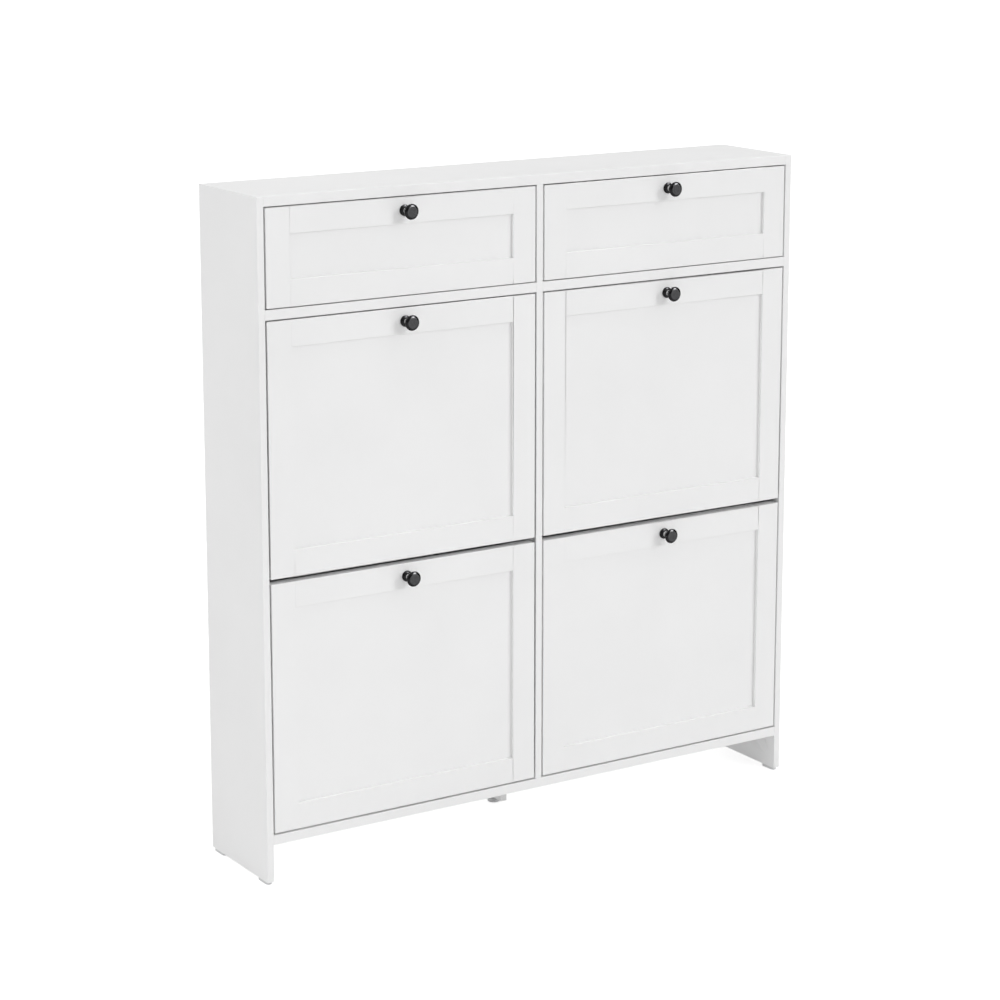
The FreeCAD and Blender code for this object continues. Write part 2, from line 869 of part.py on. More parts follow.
def tray(name, x, z):
    """A flap's shoe tray, carried on two cheeks. It turns with the front about the pivot."""
    pivot = (x, depth_of("front_board / 2"), f"{z} + pivot_lift")
    cheeks = group([tray_cheek(sign) for sign in SIDES.values()])
    node(place(cheeks, *pivot), f"{name}_tray_cheeks")

    floor_near = "(front_board / 2 + cheek)"
    floor = box(
        f"{x} - {TRAY_HALF}", f"{pivot[1]} + {floor_near}", f"{pivot[2]} - tray_drop",
        f"2 * {TRAY_HALF}", f"tray_back - {floor_near}", "tray_sheet",
    )
    node(floor, f"{name}_tray_floor")
    wall = box(
        f"{x} - {TRAY_HALF}", f"{pivot[1]} + tray_back - tray_sheet",
        f"{pivot[2]} - tray_drop + tray_sheet",
        f"2 * {TRAY_HALF}", "tray_sheet", "tray_wall",
    )
    node(wall, f"{name}_tray_back")


for row, z in FLAPS.items():
    for column, side in SIDES.items():
        name = f"{row}_{column}_flap"
        x = f"({side} * {COLUMN})"
        front(name, "flap_front", x, z, pivoted=True)
        tray(name, x, z)

# ---- drawers -------------------------------------------------------------------------------------


def drawer_side(sign):
    """A drawer's side board, grooved outside for its runner and inside for the bottom sheet."""
    outer = f"({sign} * {DRAWER_HALF})"
    low_x = f"({outer} - drawer_board)" if sign > 0 else outer
    board = box(
        low_x, "front_board", "drawer_lift", "drawer_board", "drawer_run", "drawer_wall"
    )
    runner_deep = "(runner_bite + runner_slack)"
    runner_x = f"({outer} - {runner_deep})" if sign > 0 else outer
    runner_groove = box(
        runner_x, "front_board", "runner_lift - runner_slack",
        runner_deep, "drawer_run", "runner_tall + 2 * runner_slack",
    )
    sheet_x = low_x if sign > 0 else f"({outer} + drawer_board - sheet_bite)"
    sheet_groove = box(
        sheet_x, "front_board", "drawer_lift + sheet_lift - groove_slack",
        "sheet_bite", "drawer_run", "drawer_sheet + 2 * groove_slack",
    )
    return cut(board, [runner_groove, sheet_groove])


def drawer_box(name, x):
    """A drawer's box behind its front: two sides, a back between them, and a grooved-in bottom."""
    spot = (x, FACE, DRAWER_Z)
    sides = group([drawer_side(sign) for sign in SIDES.values()])
    node(place(sides, *spot), f"{name}_sides")

    half = f"({DRAWER_HALF} - drawer_board)"
    back_y = "(front_board + drawer_run - drawer_board)"
    back = box(f"-{half}", back_y, "drawer_lift", f"2 * {half}", "drawer_board", "drawer_wall")
    groove = box(
        f"-{half}", back_y, "drawer_lift + sheet_lift - groove_slack",
        f"2 * {half}", "sheet_bite", "drawer_sheet + 2 * groove_slack",
    )
    node(place(cut(back, [groove]), *spot), f"{name}_back")

    bite = "(sheet_bite - groove_spare)"
    bottom = box(
        f"{x} - {half} - {bite}", depth_of("front_board"),
        f"{DRAWER_Z} + drawer_lift + sheet_lift",
        f"2 * ({half} + {bite})", f"{back_y} - front_board + {bite}", "drawer_sheet",
    )
    node(bottom, f"{name}_bottom")


for column, side in SIDES.items():
    name = f"{column}_drawer"
    x = f"({side} * {COLUMN})"
    front(name, "drawer_front", x, DRAWER_Z, pivoted=False)
    drawer_box(name, x)

# ---- check and write -----------------------------------------------------------------------------

doc.recompute()
for thing in doc.Objects:
    if {"Invalid", "Error"} & set(thing.State):
        raise RuntimeError(f"{thing.Label} did not recompute: {thing.State}")
    if thing.TypeId == "Part::Cut" and thing.Shape.Volume > thing.Base.Shape.Volume - 0.1:
        raise RuntimeError(f"{thing.Label} took nothing away")
for thing in nodes:
    if thing.Shape.isNull() or not thing.Shape.isValid():
        raise RuntimeError(f"{thing.Label} has no valid shape")
os.makedirs("parts", exist_ok=True)
for thing in nodes:
    thing.Shape.exportStep(f"parts/{thing.Label}.step")
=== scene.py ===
import json
import math

import bmesh
import bpy
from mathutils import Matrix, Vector

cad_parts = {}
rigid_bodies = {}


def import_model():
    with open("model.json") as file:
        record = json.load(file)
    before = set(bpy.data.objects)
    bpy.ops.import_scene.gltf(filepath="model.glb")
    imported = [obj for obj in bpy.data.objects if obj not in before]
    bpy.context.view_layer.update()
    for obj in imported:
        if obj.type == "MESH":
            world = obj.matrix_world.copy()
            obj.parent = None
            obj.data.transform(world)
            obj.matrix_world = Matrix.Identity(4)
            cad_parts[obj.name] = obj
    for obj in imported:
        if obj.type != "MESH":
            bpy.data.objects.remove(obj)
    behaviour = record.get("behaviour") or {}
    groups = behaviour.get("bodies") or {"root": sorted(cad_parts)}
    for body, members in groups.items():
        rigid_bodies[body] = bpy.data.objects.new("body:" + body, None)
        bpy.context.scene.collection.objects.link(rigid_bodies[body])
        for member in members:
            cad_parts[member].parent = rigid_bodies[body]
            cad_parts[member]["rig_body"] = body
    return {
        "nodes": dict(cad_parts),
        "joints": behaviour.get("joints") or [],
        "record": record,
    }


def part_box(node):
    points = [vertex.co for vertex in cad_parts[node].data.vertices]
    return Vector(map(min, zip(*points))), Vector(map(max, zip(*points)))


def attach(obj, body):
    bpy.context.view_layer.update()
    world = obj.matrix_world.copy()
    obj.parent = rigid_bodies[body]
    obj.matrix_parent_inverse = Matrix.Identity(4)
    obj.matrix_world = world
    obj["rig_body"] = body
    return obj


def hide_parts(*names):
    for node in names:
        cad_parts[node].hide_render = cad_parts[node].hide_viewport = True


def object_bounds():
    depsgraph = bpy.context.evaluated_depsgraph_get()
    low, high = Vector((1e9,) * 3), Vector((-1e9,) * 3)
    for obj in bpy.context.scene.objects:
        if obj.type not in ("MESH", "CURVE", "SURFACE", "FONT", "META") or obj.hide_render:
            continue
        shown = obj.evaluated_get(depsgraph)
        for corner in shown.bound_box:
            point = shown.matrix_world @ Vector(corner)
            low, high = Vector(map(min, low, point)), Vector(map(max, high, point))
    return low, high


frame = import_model()
cad_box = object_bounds()
nodes = frame["nodes"]
bodies = frame["record"]["behaviour"]["bodies"]

# ---- Carcass boards ------------------------------------------------------------------------------
# Sides, divider, top, bottom, shelves, wall rails and the middle leg: fibreboard faced with a satin
# white melamine foil that has a fine pearl grain, edge-banded in the same white and held with cams.

BOARD_EASE = 0.0006
BOARD_WHITE = (0.93, 0.93, 0.93, 1)
CARCASS_BOARDS = (
    "side_left", "side_right", "divider", "top_panel", "bottom_panel", "drawer_shelf_left",
    "drawer_shelf_right", "wall_rail_left", "wall_rail_right", "centre_leg",
)


def wire(tree, kind, inputs, **settings):
    """Add a node. Each input gets either a value or a link from another node's output."""
    node = tree.nodes.new(kind)
    for name, value in settings.items():
        setattr(node, name, value)
    for name, value in inputs.items():
        if isinstance(value, bpy.types.NodeSocket):
            tree.links.new(value, node.inputs[name])
        else:
            node.inputs[name].default_value = value
    return node


def worked(tree, operation, first, second):
    """One step of arithmetic on two values or links, and the link it comes out of."""
    return wire(tree, "ShaderNodeMath", {0: first, 1: second}, operation=operation).outputs[0]


def toned(tree, color, cloud, depth):
    """A colour that is darker by up to depth where the cloud is thin."""
    tone = wire(
        tree, "ShaderNodeMapRange",
        {"Value": cloud.outputs["Fac"], "From Min": 0.3, "From Max": 0.7,
         "To Min": worked(tree, "SUBTRACT", 1.0, depth), "To Max": 1.0},
    )
    tinted = wire(
        tree, "ShaderNodeVectorMath", {0: color, "Scale": tone.outputs[0]}, operation="SCALE"
    )
    return tinted.outputs[0]


def rubbed(tree, roughness, smear, less, more):
    """A roughness that the smear lowers or raises a little."""
    rub = wire(
        tree, "ShaderNodeMapRange",
        {"Value": smear.outputs["Fac"], "From Min": 0.3, "From Max": 0.7,
         "To Min": -less, "To Max": more},
    )
    return worked(tree, "ADD", roughness, rub.outputs[0])


def open_group(name, kind, inputs, outputs):
    """A node group with named sockets, and its two end nodes."""
    tree = bpy.data.node_groups.new(name, kind)
    for label, socket, value in inputs:
        made = tree.interface.new_socket(label, in_out="INPUT", socket_type=socket)
        if value is not None:
            made.default_value = value
    for label, socket in outputs:
        tree.interface.new_socket(label, in_out="OUTPUT", socket_type=socket)
    return tree, tree.nodes.new("NodeGroupInput"), tree.nodes.new("NodeGroupOutput")


def facing_group():
    """A sprayed or pressed facing: a fine pearl relief, and tone and gloss that drift a little."""
    tree, given, out = open_group(
        "facing",
        "ShaderNodeTree",
        [
            ("Color", "NodeSocketColor", (0.8, 0.8, 0.8, 1)),
            ("Roughness", "NodeSocketFloat", 0.4),
            ("Grain Size", "NodeSocketFloat", 0.001),
            ("Drift", "NodeSocketFloat", 0.02),
        ],
        [
            ("Color", "NodeSocketColor"),
            ("Roughness", "NodeSocketFloat"),
            ("Height", "NodeSocketFloat"),
        ],
    )
    place = wire(tree, "ShaderNodeTexCoord", {}).outputs["Object"]
    fine = worked(tree, "DIVIDE", 1.0, given.outputs["Grain Size"])
    pearl = wire(
        tree, "ShaderNodeTexNoise",
        {"Vector": place, "Scale": fine, "Detail": 2.0, "Roughness": 0.45},
    )
    cloud = wire(tree, "ShaderNodeTexNoise", {"Vector": place, "Scale": 6.0, "Detail": 3.0})
    smear = wire(tree, "ShaderNodeTexNoise", {"Vector": place, "Scale": 42.0, "Detail": 4.0})
    tint = toned(tree, given.outputs["Color"], cloud, given.outputs["Drift"])
    gloss = rubbed(tree, given.outputs["Roughness"], smear, 0.04, 0.05)
    tree.links.new(tint, out.inputs["Color"])
    tree.links.new(gloss, out.inputs["Roughness"])
    tree.links.new(pearl.outputs["Fac"], out.inputs["Height"])
    return tree


facing = facing_group()


def start_material(name, **shader_values):
    """An empty material with its Principled shader. A value here is the same all over the piece."""
    made = bpy.data.materials.new(name)
    made.use_nodes = True
    shader = made.node_tree.nodes["Principled BSDF"]
    for label, value in shader_values.items():
        shader.inputs[label.replace("_", " ")].default_value = value
    return made, made.node_tree, shader


def relief(tree, shader, height, strength, distance):
    """A fine relief from a height, on top of the piece's own shape."""
    bump = wire(
        tree, "ShaderNodeBump", {"Height": height, "Strength": strength, "Distance": distance}
    )
    tree.links.new(bump.outputs["Normal"], shader.inputs["Normal"])


def lay_on(tree, shader, skin, strength, distance):
    """Join a skin's tone, gloss and relief to the shader."""
    tree.links.new(skin.outputs["Color"], shader.inputs["Base Color"])
    tree.links.new(skin.outputs["Roughness"], shader.inputs["Roughness"])
    relief(tree, shader, skin.outputs["Height"], strength, distance)


def faced_material(name, color, gloss, grain, strength, drift=0.025):
    """A painted, moulded or foil-faced surface."""
    made, tree, shader = start_material(name)
    skin = wire(
        tree, "ShaderNodeGroup",
        {"Color": color, "Roughness": gloss, "Grain Size": grain, "Drift": drift},
        node_tree=facing,
    )
    lay_on(tree, shader, skin, strength, 0.0002)
    return made


def whole_faces(name):
    """A node's mesh with its loose triangles joined back into whole faces."""
    mesh = nodes[name].data.copy()
    mesh.name = f"{name}_mesh"
    form = bmesh.new()
    form.from_mesh(mesh)
    bmesh.ops.remove_doubles(form, verts=form.verts, dist=1e-6)
    bmesh.ops.dissolve_limit(
        form, angle_limit=math.radians(0.3), verts=form.verts, edges=form.edges
    )
    form.to_mesh(mesh)
    form.free()
    return mesh


LONG_EDGE = 0.008
CORNER = math.radians(60)
SMOOTH_TO = math.radians(35)


def finished(name, material, ease=BOARD_EASE, least=LONG_EDGE):
    """A node's piece with softly rounded corners along its edges, in its finish."""
    mesh = whole_faces(name)
    form = bmesh.new()
    form.from_mesh(mesh)
    weight = form.edges.layers.float.new("bevel_weight_edge")
    for edge in form.edges:
        if len(edge.link_faces) == 2 and edge.calc_length() > least:
            if edge.calc_face_angle_signed() > CORNER:
                edge[weight] = 1.0
    form.to_mesh(mesh)
    form.free()
    mesh.materials.clear()
    mesh.materials.append(material)
    for face in mesh.polygons:
        face.use_smooth = True
        face.material_index = 0
    mesh.set_sharp_from_angle(angle=SMOOTH_TO)
    piece = bpy.data.objects.new(f"{name}_finished", mesh)
    bpy.context.scene.collection.objects.link(piece)
    if ease:
        soft = piece.modifiers.new("Eased edges", "BEVEL")
        soft.width = ease
        soft.segments = 2
        soft.limit_method = "WEIGHT"
        soft.use_clamp_overlap = False
        soft.loop_slide = False
        soft.harden_normals = True
    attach(piece, nodes[name]["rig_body"])
    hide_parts(name)


white_board = faced_material(
    "white_board", BOARD_WHITE, gloss=0.42, grain=0.0011, strength=0.05
)
for name in CARCASS_BOARDS:
    finished(name, white_board)

# ---- Back sheets and their joint strip -----------------------------------------------------------
# Two sheets of 3 mm hard fibreboard, painted white inside and bare brown behind with the print of
# the press screen. They slide in grooves, and a white extruded H-strip joins them in the middle.

BACK_INNER = (0.9, 0.9, 0.895, 1)
STRIP_WHITE = (0.9, 0.9, 0.9, 1)
BACK_FIBRE = (0.34, 0.215, 0.12, 1)
BACK_FIBRE_DARK = (0.26, 0.16, 0.088, 1)
SCREEN_PITCH = 0.0016
WAVE_UNIT = math.pi / 10  # a wave texture repeats after this length at a scale of one
back_low, back_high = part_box("back_panel_left")
back_middle = (back_low.y + back_high.y) / 2


def hardboard_material():
    """White paint in front of the sheet's middle, bare screen-printed fibre behind it."""
    made, tree, shader = start_material("back_sheet", Specular_IOR_Level=0.3)
    place = wire(tree, "ShaderNodeTexCoord", {}).outputs["Object"]
    apart = wire(tree, "ShaderNodeSeparateXYZ", {0: place})
    behind = worked(tree, "GREATER_THAN", apart.outputs["Y"], back_middle)
    felt = wire(
        tree, "ShaderNodeTexNoise",
        {"Vector": place, "Scale": 260.0, "Detail": 8.0, "Roughness": 0.7, "Distortion": 1.5},
    )
    patches = wire(tree, "ShaderNodeTexNoise", {"Vector": place, "Scale": 9.0, "Detail": 5.0})
    blend = worked(tree, "MULTIPLY", felt.outputs["Fac"], patches.outputs["Fac"])
    share = wire(
        tree, "ShaderNodeMapRange", {"Value": blend, "From Min": 0.12, "From Max": 0.38}
    )
    brown = wire(
        tree, "ShaderNodeMix",
        {"Factor": share.outputs[0], "A": BACK_FIBRE_DARK, "B": BACK_FIBRE},
        data_type="RGBA",
    )
    skin = wire(
        tree, "ShaderNodeGroup",
        {"Color": BACK_INNER, "Roughness": 0.5, "Grain Size": 0.0015}, node_tree=facing,
    )
    color = wire(
        tree, "ShaderNodeMix",
        {"Factor": behind, "A": skin.outputs["Color"], "B": brown.outputs["Result"]},
        data_type="RGBA",
    )
    dull = wire(
        tree, "ShaderNodeMix", {"Factor": behind, "A": skin.outputs["Roughness"], "B": 0.85},
        data_type="FLOAT",
    )
    printed = behind
    for across in ("X", "Z"):
        threads = wire(
            tree, "ShaderNodeTexWave",
            {"Vector": place, "Scale": WAVE_UNIT / SCREEN_PITCH, "Distortion": 0.4},
            bands_direction=across,
        )
        printed = worked(tree, "MULTIPLY", printed, threads.outputs["Fac"])
    tree.links.new(color.outputs["Result"], shader.inputs["Base Color"])
    tree.links.new(dull.outputs["Result"], shader.inputs["Roughness"])
    relief(tree, shader, printed, 0.5, 0.0003)
    return made


back_sheet = hardboard_material()
for side in ("left", "right"):
    finished(f"back_panel_{side}", back_sheet, ease=0)

white_plastic = faced_material(
    "white_plastic", STRIP_WHITE, gloss=0.35, grain=0.0005, strength=0.03, drift=0.01
)
finished("back_joint_strip", white_plastic, ease=0.0003, least=0.0018)

# ---- Screws --------------------------------------------------------------------------------------
# Bright zinc-plated steel screws with domed heads and cross recesses. They hold the wall rails to
# the back sheets, the divider to the bottom board, and stop the flaps' swing.

STEEL = (0.62, 0.62, 0.63, 1)


def metal_group():
    """Plated or cast metal: a fine grit that dulls it in spots, and a cloudy tone."""
    tree, given, out = open_group(
        "metal",
        "ShaderNodeTree",
        [
            ("Color", "NodeSocketColor", (0.6, 0.6, 0.6, 1)),
            ("Roughness", "NodeSocketFloat", 0.3),
            ("Grain Size", "NodeSocketFloat", 0.0005),
            ("Clouding", "NodeSocketFloat", 0.15),
        ],
        [
            ("Color", "NodeSocketColor"),
            ("Roughness", "NodeSocketFloat"),
            ("Height", "NodeSocketFloat"),
        ],
    )
    place = wire(tree, "ShaderNodeTexCoord", {}).outputs["Object"]
    fine = worked(tree, "DIVIDE", 1.0, given.outputs["Grain Size"])
    grit = wire(
        tree, "ShaderNodeTexNoise",
        {"Vector": place, "Scale": fine, "Detail": 4.0, "Roughness": 0.6},
    )
    cloud = wire(tree, "ShaderNodeTexNoise", {"Vector": place, "Scale": 240.0, "Detail": 4.0})
    tint = toned(tree, given.outputs["Color"], cloud, given.outputs["Clouding"])
    gloss = rubbed(tree, given.outputs["Roughness"], grit, 0.06, 0.1)
    tree.links.new(tint, out.inputs["Color"])
    tree.links.new(gloss, out.inputs["Roughness"])
    tree.links.new(grit.outputs["Fac"], out.inputs["Height"])
    return tree


metal = metal_group()


def metal_material(name, color, gloss, grain, clouding, strength):
    """Bare or plated metal of one colour all over."""
    made, tree, shader = start_material(name, Metallic=1.0)
    skin = wire(
        tree, "ShaderNodeGroup",
        {"Color": color, "Roughness": gloss, "Grain Size": grain, "Clouding": clouding},
        node_tree=metal,
    )
    lay_on(tree, shader, skin, strength, 0.0001)
    return made


def screw_tree():
    """A cross-recess screw at each point, with its head along the point's own direction."""
    tree, given, out = open_group(
        "screws",
        "GeometryNodeTree",
        [
            ("Geometry", "NodeSocketGeometry", None),
            ("Head Radius", "NodeSocketFloat", 0.003),
            ("Head Height", "NodeSocketFloat", 0.002),
            ("Shank Radius", "NodeSocketFloat", 0.0015),
            ("Shank Length", "NodeSocketFloat", 0.012),
            ("Finish", "NodeSocketMaterial", None),
        ],
        [("Geometry", "NodeSocketGeometry")],
    )

    def sized(socket, factor):
        return worked(tree, "MULTIPLY", given.outputs[socket], factor)

    ball = wire(tree, "GeometryNodeMeshUVSphere", {"Segments": 20, "Rings": 12, "Radius": 1.0})
    place = wire(tree, "GeometryNodeInputPosition", {}).outputs["Position"]
    apart = wire(tree, "ShaderNodeSeparateXYZ", {0: place})
    above = worked(tree, "MAXIMUM", apart.outputs["Z"], 0.0)
    full = worked(tree, "POWER", above, 0.6)
    spot = wire(
        tree, "ShaderNodeCombineXYZ",
        {"X": apart.outputs["X"], "Y": apart.outputs["Y"], "Z": full},
    )
    size = wire(
        tree, "ShaderNodeCombineXYZ",
        {"X": given.outputs["Head Radius"], "Y": given.outputs["Head Radius"],
         "Z": given.outputs["Head Height"]},
    )
    scaled = wire(
        tree, "ShaderNodeVectorMath", {0: spot.outputs[0], 1: size.outputs[0]}, operation="MULTIPLY"
    )
    head = wire(
        tree, "GeometryNodeSetPosition",
        {"Geometry": ball.outputs["Mesh"], "Position": scaled.outputs[0]},
    )
    shank = wire(
        tree, "GeometryNodeMeshCylinder",
        {"Vertices": 14, "Radius": given.outputs["Shank Radius"],
         "Depth": given.outputs["Shank Length"]},
    )
    drop = worked(tree, "ADD", sized("Shank Length", -0.5), sized("Head Height", 0.3))
    down = wire(tree, "ShaderNodeCombineXYZ", {"Z": drop})
    shank_set = wire(
        tree, "GeometryNodeTransform",
        {"Geometry": shank.outputs["Mesh"], "Translation": down.outputs[0]},
    )
    whole = wire(tree, "GeometryNodeMeshBoolean", {}, operation="UNION")
    tree.links.new(shank_set.outputs[0], whole.inputs["Mesh 2"])
    tree.links.new(head.outputs[0], whole.inputs["Mesh 2"])
    recess = wire(
        tree, "GeometryNodeMeshBoolean", {"Mesh 1": whole.outputs["Mesh"]}, operation="DIFFERENCE"
    )
    lift = wire(tree, "ShaderNodeCombineXYZ", {"Z": given.outputs["Head Height"]})
    for long_way, cross_way in (("X", "Y"), ("Y", "X")):
        wing = wire(
            tree, "ShaderNodeCombineXYZ",
            {long_way: sized("Head Radius", 1.05), cross_way: sized("Head Radius", 0.24),
             "Z": sized("Head Height", 1.1)},
        )
        bar = wire(tree, "GeometryNodeMeshCube", {"Size": wing.outputs[0]})
        raised = wire(
            tree, "GeometryNodeTransform",
            {"Geometry": bar.outputs["Mesh"], "Translation": lift.outputs[0]},
        )
        tree.links.new(raised.outputs[0], recess.inputs["Mesh 2"])
    way = wire(
        tree, "GeometryNodeInputNamedAttribute", {"Name": "way"}, data_type="FLOAT_VECTOR"
    )
    turn = wire(
        tree, "FunctionNodeAlignRotationToVector",
        {"Vector": way.outputs["Attribute"]}, axis="Z",
    )
    spread = wire(
        tree, "GeometryNodeInstanceOnPoints",
        {"Points": given.outputs["Geometry"], "Instance": recess.outputs["Mesh"],
         "Rotation": turn.outputs[0]},
    )
    real = wire(tree, "GeometryNodeRealizeInstances", {"Geometry": spread.outputs[0]})
    coated = wire(
        tree, "GeometryNodeSetMaterial",
        {"Geometry": real.outputs[0], "Material": given.outputs["Finish"]},
    )
    tree.links.new(coated.outputs[0], out.inputs["Geometry"])
    return tree


screws = screw_tree()


def made_by(tree, source, name, values):
    """Run a tree on an object, and keep the result as a plain mesh on a new object."""
    modifier = source.modifiers.new(name, "NODES")
    modifier.node_group = tree
    for item in tree.interface.items_tree:
        if item.in_out == "INPUT" and item.name in values:
            modifier[item.identifier] = values[item.name]
    bpy.context.view_layer.update()
    mesh = bpy.data.meshes.new_from_object(
        source.evaluated_get(bpy.context.evaluated_depsgraph_get())
    )
    source.modifiers.remove(modifier)
    bpy.data.objects.remove(source)
    mesh.name = f"{name}_mesh"
    for attribute in [a for a in mesh.attributes if a.name == "way"]:
        mesh.attributes.remove(attribute)
    for face in mesh.polygons:
        face.use_smooth = True
    mesh.set_sharp_from_angle(angle=SMOOTH_TO)
    piece = bpy.data.objects.new(name, mesh)
    bpy.context.scene.collection.objects.link(piece)
    return piece


def screw_set(name, body, slot, spots, replaced=(), **sizes):
    """Screws of one size on one body. Each spot is where a head sits, and the way it faces."""
    mesh = bpy.data.meshes.new(f"{name}_spots")
    mesh.from_pydata([spot for spot, _ in spots], [], [])
    way = mesh.attributes.new("way", "FLOAT_VECTOR", "POINT")
    way.data.foreach_set("vector", [number for _, facing_way in spots for number in facing_way])
    source = bpy.data.objects.new(f"{name}_source", mesh)
    bpy.context.scene.collection.objects.link(source)
    inputs = {label.replace("_", " "): value for label, value in sizes.items()}
    piece = made_by(screws, source, name, inputs)
    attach(piece, body)
    if replaced:
        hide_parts(*replaced)


steel = metal_material(
    "steel", STEEL, gloss=0.24, grain=0.0004, clouding=0.12, strength=0.06
)


def solids(name):
    """The lowest and highest corner of each separate solid in a node."""
    form = bmesh.new()
    form.from_mesh(nodes[name].data)
    bmesh.ops.remove_doubles(form, verts=form.verts, dist=1e-6)
    left, boxes = set(form.verts), []
    while left:
        found, to_follow = set(), [left.pop()]
        while to_follow:
            vertex = to_follow.pop()
            found.add(vertex)
            for edge in vertex.link_edges:
                other = edge.other_vert(vertex)
                if other in left:
                    left.discard(other)
                    to_follow.append(other)
        spots = [vertex.co for vertex in found]
        boxes.append(
            (
                Vector([min(spot[i] for spot in spots) for i in range(3)]),
                Vector([max(spot[i] for spot in spots) for i in range(3)]),
            )
        )
    form.free()
    return sorted(boxes, key=lambda box: tuple(box[0]))


STOP_HEAD, DIVIDER_HEAD = 0.002, 0.0035
SUNK = 0.0001
RAIL_SCREWS_ALONG = (0.06, 0.28, 0.72, 0.94)
rail_low, rail_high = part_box("wall_rail_right")
column_middle = (rail_low.x + rail_high.x) / 2

stop_spots = []
for low, high in solids("stop_screws"):
    middle = (low + high) / 2
    way = 1 if middle.x < math.copysign(column_middle, middle.x) else -1
    seat = high.x - STOP_HEAD if way > 0 else low.x + STOP_HEAD
    stop_spots.append((Vector((seat, middle.y, middle.z)), (way, 0, 0)))
screw_set(
    "stop_screws_cut", "carcass", "steel", stop_spots, ("stop_screws",), Finish=steel,
    Head_Radius=0.005, Head_Height=STOP_HEAD, Shank_Radius=0.003, Shank_Length=0.0122,
)
divider_spots = []
for low, high in solids("divider_screws"):
    middle = (low + high) / 2
    divider_spots.append((Vector((middle.x, middle.y, low.z + DIVIDER_HEAD)), (0, 0, -1)))
screw_set(
    "divider_screws_cut", "carcass", "steel", divider_spots, ("divider_screws",), Finish=steel,
    Head_Radius=0.005, Head_Height=DIVIDER_HEAD - SUNK, Shank_Radius=0.0025,
    Shank_Length=0.044,
)

rail_spots = []
for side in ("left", "right"):
    low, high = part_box(f"wall_rail_{side}")
    for share in RAIL_SCREWS_ALONG:
        x = low.x + share * (high.x - low.x)
        rail_spots.append((Vector((x, back_high.y, (low.z + high.z) / 2)), (0, 1, 0)))
screw_set(
    "wall_rail_screws", "carcass", "steel", rail_spots, Finish=steel,
    Head_Radius=0.0035, Head_Height=0.0016, Shank_Radius=0.0014, Shank_Length=0.012,
)

# ---- Cams, bolts, dowels and pins ----------------------------------------------------------------
# Die-cast zinc cams draw the boards together on steel bolts, fluted beech dowels line them up, and
# plain steel pins carry the flaps. All of them are pushed or screwed into bores in the boards.

ZINC = (0.58, 0.59, 0.6, 1)
BEECH = (0.62, 0.45, 0.28, 1)
BEECH_DARK = (0.46, 0.31, 0.18, 1)


def beech_material():
    """Beech with its grain along X, as most of the dowels lie."""
    made, tree, shader = start_material("beech", Specular_IOR_Level=0.35)
    place = wire(tree, "ShaderNodeTexCoord", {}).outputs["Object"]
    flat = wire(tree, "ShaderNodeMapping", {"Vector": place, "Scale": (60.0, 900.0, 700.0)})
    grain = wire(
        tree, "ShaderNodeTexNoise", {"Vector": flat.outputs[0], "Scale": 1.0, "Detail": 6.0}
    )
    tone = wire(
        tree, "ShaderNodeMix",
        {"Factor": grain.outputs["Fac"], "A": BEECH_DARK, "B": BEECH}, data_type="RGBA",
    )
    dull = wire(
        tree, "ShaderNodeMapRange",
        {"Value": grain.outputs["Fac"], "To Min": 0.7, "To Max": 0.55},
    )
    tree.links.new(tone.outputs["Result"], shader.inputs["Base Color"])
    tree.links.new(dull.outputs[0], shader.inputs["Roughness"])
    relief(tree, shader, grain.outputs["Fac"], 0.25, 0.0002)
    return made


def repaint(name, material):
    """Give a node whose shape is right its finish."""
    for slot in nodes[name].material_slots:
        slot.material = material


zinc = metal_material(
    "cast_zinc", ZINC, gloss=0.42, grain=0.0006, clouding=0.25, strength=0.3
)
repaint("cam_locks", zinc)
repaint("cam_bolts", steel)
repaint("dowels", beech_material())
repaint("pivot_pins", steel)

# ---- Drawer runners ------------------------------------------------------------------------------
# White moulded plastic strips screwed to the boards beside each drawer. The drawers' grooved sides
# hang and slide on them.

RUNNER_WHITE = (0.88, 0.88, 0.88, 1)

runner_white = faced_material(
    "runner_plastic", RUNNER_WHITE, gloss=0.4, grain=0.0007, strength=0.08, drift=0.01
)
finished("drawer_runners", runner_white, ease=0.0008)

# ---- Floor glides and middle foot ----------------------------------------------------------------
# Pale grey moulded glides nailed under the side boards keep them off the floor. A foot of the same
# plastic, with finger grips round its rim, screws into the middle leg and sets its height.

GLIDE_GREY = (0.74, 0.745, 0.75, 1)

glide_grey = faced_material(
    "glide_plastic", GLIDE_GREY, gloss=0.45, grain=0.0006, strength=0.12, drift=0.04
)
finished("floor_glides", glide_grey, ease=0.0006)


def bowed(start, end, rise, steps=8):
    """Points after start on a shallow arc to end. A positive rise bows it to the left."""
    run = (end[0] - start[0], end[1] - start[1])
    points = []
    for i in range(1, steps + 1):
        t = i / steps
        lift = 4 * rise * t * (1 - t)
        length = math.hypot(*run)
        points.append(
            (
                start[0] + run[0] * t - run[1] / length * lift,
                start[1] + run[1] * t + run[0] / length * lift,
            )
        )
    return points


